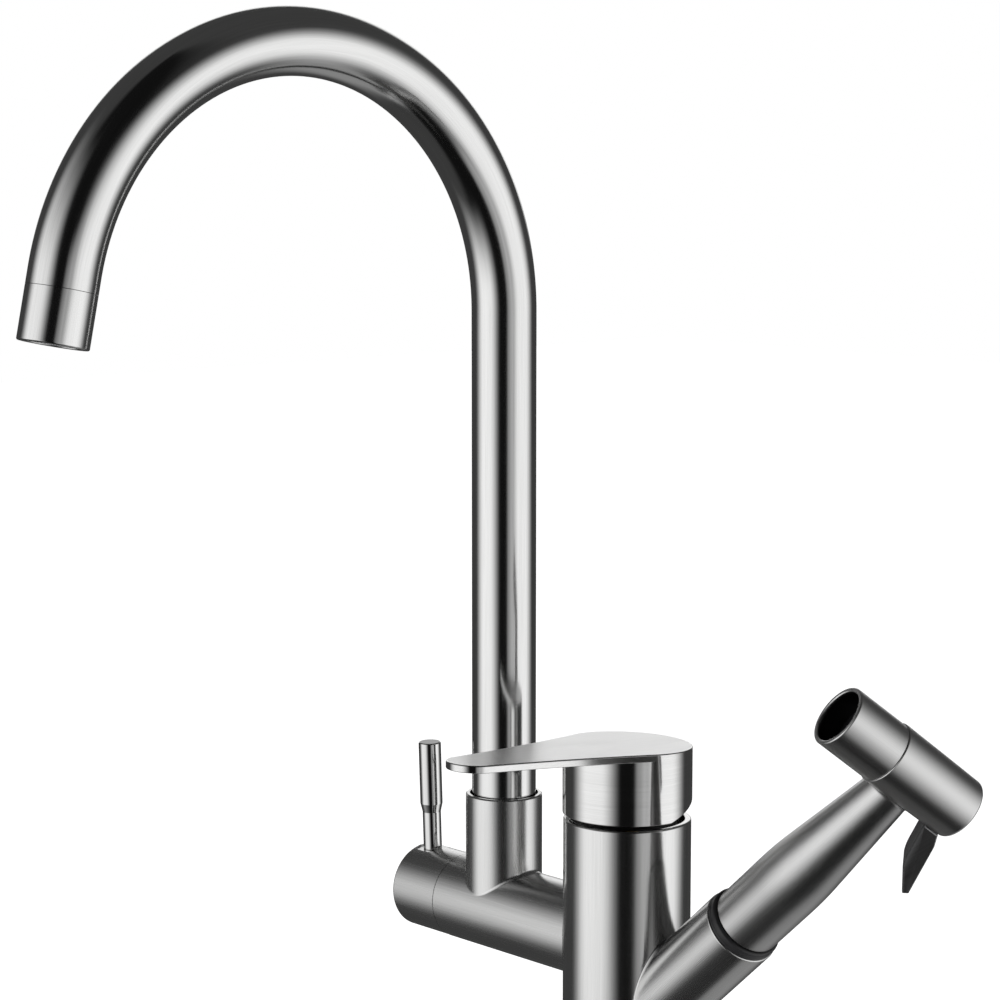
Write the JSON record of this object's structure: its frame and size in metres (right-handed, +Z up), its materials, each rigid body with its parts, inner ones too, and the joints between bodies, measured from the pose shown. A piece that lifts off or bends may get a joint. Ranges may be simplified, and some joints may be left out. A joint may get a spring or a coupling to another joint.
{
  "type": "pull-out kitchen faucet",
  "caption": "Brushed steel kitchen faucet: swan-neck spout on a side arm, lever mixer, diverter pin and a pull-out trigger spray gun in a slanted dock.",
  "frame": {"origin": "on the upright body's axis, in the plane of the foot flange's underside, where it sits on the deck", "axes": "+Z up along the body, -Y to the user and along the spout and the mixer lever, -X along the side arm, +X to the spray gun"},
  "size_m": [0.273, 0.2437, 0.4872],
  "materials": {
    "brushed_steel": "brushed lengthwise, satin",
    "handle_steel": "fine satin top, smoother cap",
    "pin_steel": "turned, satin",
    "trigger_steel": "stamped, matt dark",
    "fixing_steel": "plain stainless",
    "brass": "machined",
    "black_plastic": "moulded, matt",
    "grey_plastic": "moulded",
    "dark_nozzle": "moulded, matt",
    "disc_ceramic": "lapped",
    "rubber": "moulded"
  },
  "bodies": {
    "faucet_body": {"main_body": "brushed_steel", "dock_tube": "brushed_steel", "dock_guide": "black_plastic", "side_arm": "brushed_steel", "base_flange": "brushed_steel", "base_gasket": "rubber", "mounting_shank": "brass", "rubber_washer": "rubber", "clamp_washer": "fixing_steel", "lock_nut": "brass", "cartridge_seat": "brass", "cartridge_housing": "grey_plastic", "cartridge_base": "grey_plastic", "cartridge_seals": "rubber", "fixed_disc": "disc_ceramic", "cartridge_nut": "brass", "bonnet_ring": "grey_plastic", "diverter_housing": "brass", "diverter_nut": "brass", "diverter_o_rings": "rubber", "return_tube": "brass", "spout_screw": "fixing_steel"},
    "mixer_carrier": {"cartridge_carrier": "grey_plastic", "stem_pin": "fixing_steel"},
    "mixer_lever": {"cartridge_stem": "fixing_steel", "handle": "handle_steel", "handle_screw": "fixing_steel", "index_plug": "black_plastic"},
    "mixer_disc": {"moving_disc": "disc_ceramic"},
    "diverter": {"diverter_spindle": "brass", "diverter_cap": "brushed_steel", "pin_lever": "pin_steel"},
    "spout": {"spout_tube": "brushed_steel", "spout_fitting": "brass", "spout_o_rings": "rubber", "slip_ring": "grey_plastic", "tip_sleeve": "brushed_steel", "aerator_insert": "grey_plastic", "aerator_washer": "rubber"},
    "hose_end": {"hose_connector": "brass", "connector_o_ring": "rubber", "swivel_clip": "fixing_steel", "check_valve": "grey_plastic"},
    "spray_gun": {"spray_grip": "brushed_steel", "swivel_bush": "grey_plastic", "grip_waterway": "grey_plastic", "spray_head": "brushed_steel", "nozzle_sleeve": "brushed_steel", "spray_plate": "dark_nozzle", "nozzle_gasket": "rubber", "valve_gland": "brass", "gland_o_ring": "rubber", "trigger_pin": "fixing_steel", "return_spring": "fixing_steel"},
    "spray_trigger": {"trigger": "trigger_steel"},
    "spray_valve": {"valve_plunger": "fixing_steel", "valve_seal": "rubber"}
  },
  "joints": [
    {"name": "handle_turn", "type": "hinge", "parent": "faucet_body", "child": "mixer_carrier", "pos_m": [0, 0, 0.116], "axis": [0, 0, 1], "range_deg": [-43, 47]},
    {"name": "handle_lift", "type": "hinge", "parent": "mixer_carrier", "child": "mixer_lever", "pos_m": [0, 0, 0.116], "axis": [-0.9994, 0.0349, 0], "range_deg": [0, 20]},
    {"name": "disc_slide", "type": "slide", "parent": "mixer_carrier", "child": "mixer_disc", "axis": [-0.0349, -0.9994, 0], "range_m": [0, 0.0042]},
    {"name": "diverter_turn", "type": "hinge", "parent": "faucet_body", "child": "diverter", "pos_m": [-0.1, 0, 0.0829], "axis": [1, 0, 0], "range_deg": [-2, 88]},
    {"name": "spout_swivel", "type": "hinge", "parent": "faucet_body", "child": "spout", "pos_m": [-0.0694, 0, 0.11], "axis": [0, 0, 1], "continuous": true},
    {"name": "spray_pull", "type": "slide", "parent": "faucet_body", "child": "hose_end", "axis": [0.7402, 0, 0.6724], "range_m": [0, 0.5]},
    {"name": "spray_spin", "type": "hinge", "parent": "hose_end", "child": "spray_gun", "pos_m": [0.0681, 0, 0.11016], "axis": [0.7402, 0, 0.6724], "continuous": true},
    {"name": "trigger_squeeze", "type": "hinge", "parent": "spray_gun", "child": "spray_trigger", "pos_m": [0.13621, 0.01047, 0.15942], "axis": [-0.502, 0.6652, 0.5527], "range_deg": [0, 15], "stiffness_Nm_per_rad": 0.1, "springref_deg": -5.73},
    {"name": "plunger_slide", "type": "slide", "parent": "spray_gun", "child": "spray_valve", "axis": [0.3021, 0.7337, -0.6087], "range_m": [0, 0.0017], "deforming": ["return_spring"]}
  ],
  "couplings": [
    {"joint": "disc_slide", "follows": "handle_lift", "m_per_rad": 0.0116},
    {"joint": "trigger_squeeze", "follows": "plunger_slide", "rad_per_m": 153.85}
  ]
}
